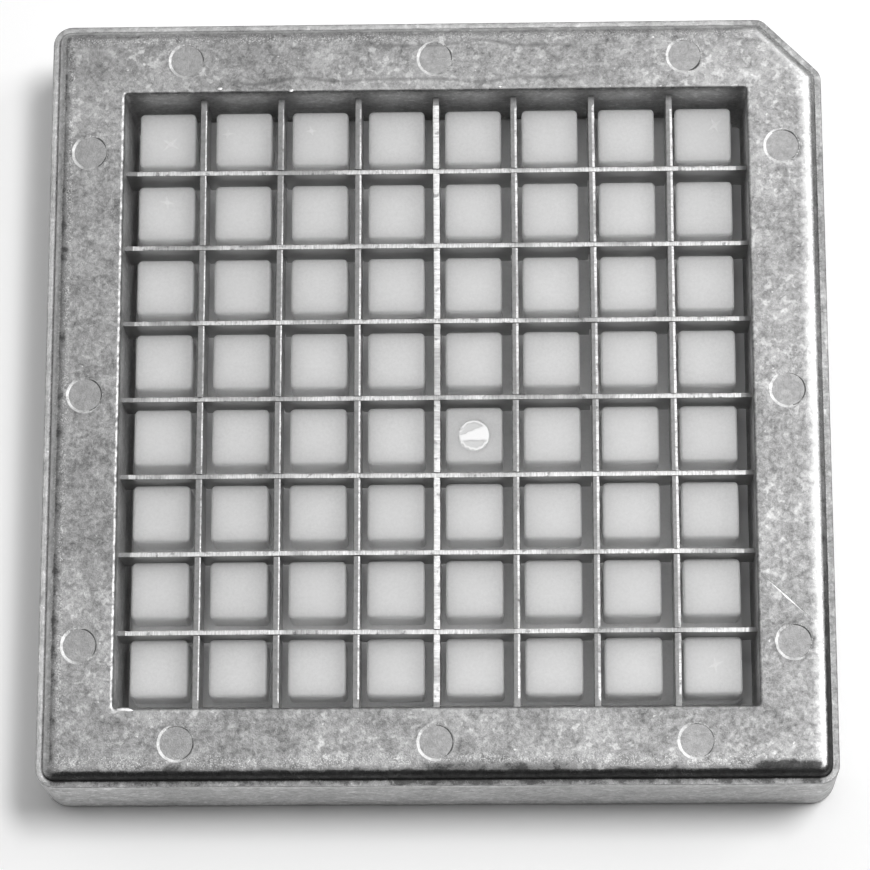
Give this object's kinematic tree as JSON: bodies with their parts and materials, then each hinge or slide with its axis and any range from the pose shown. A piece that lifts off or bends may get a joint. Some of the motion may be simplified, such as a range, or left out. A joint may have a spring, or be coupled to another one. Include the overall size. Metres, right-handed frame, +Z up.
{
  "type": "french fry cutting block",
  "caption": "Square die-cast frame with a crossed grid of thin steel blades, over a white moulded pusher plate with a peg for every cell.",
  "frame": {"origin": "middle of the square foot, on the surface that the frame and the pusher plate stand on", "axes": "+Z up out of the grid, +X right along the cross blades, +Y back along the long blades; the cut corner is at +X +Y"},
  "size_m": [0.1002, 0.1002, 0.0165],
  "materials": {
    "cast_frame": "as-cast skin, mottled grey, edges rubbed bright",
    "blade_steel": "stainless strip, ground top edges",
    "white_moulding": "natural white moulding, satin, faint flow marks"
  },
  "bodies": {
    "pusher": {"pusher_plate": "white_moulding"},
    "grid": {"frame": "cast_frame", "cross_blade_1": "blade_steel", "cross_blade_2": "blade_steel", "cross_blade_3": "blade_steel", "cross_blade_4": "blade_steel", "cross_blade_5": "blade_steel", "cross_blade_6": "blade_steel", "cross_blade_7": "blade_steel", "long_blade_1": "blade_steel", "long_blade_2": "blade_steel", "long_blade_3": "blade_steel", "long_blade_4": "blade_steel", "long_blade_5": "blade_steel", "long_blade_6": "blade_steel", "long_blade_7": "blade_steel"}
  },
  "joints": [
    {"name": "grid_lift", "type": "slide", "parent": "pusher", "child": "grid", "axis": [0, 0, 1], "range_m": [0, 0.1]}
  ]
}
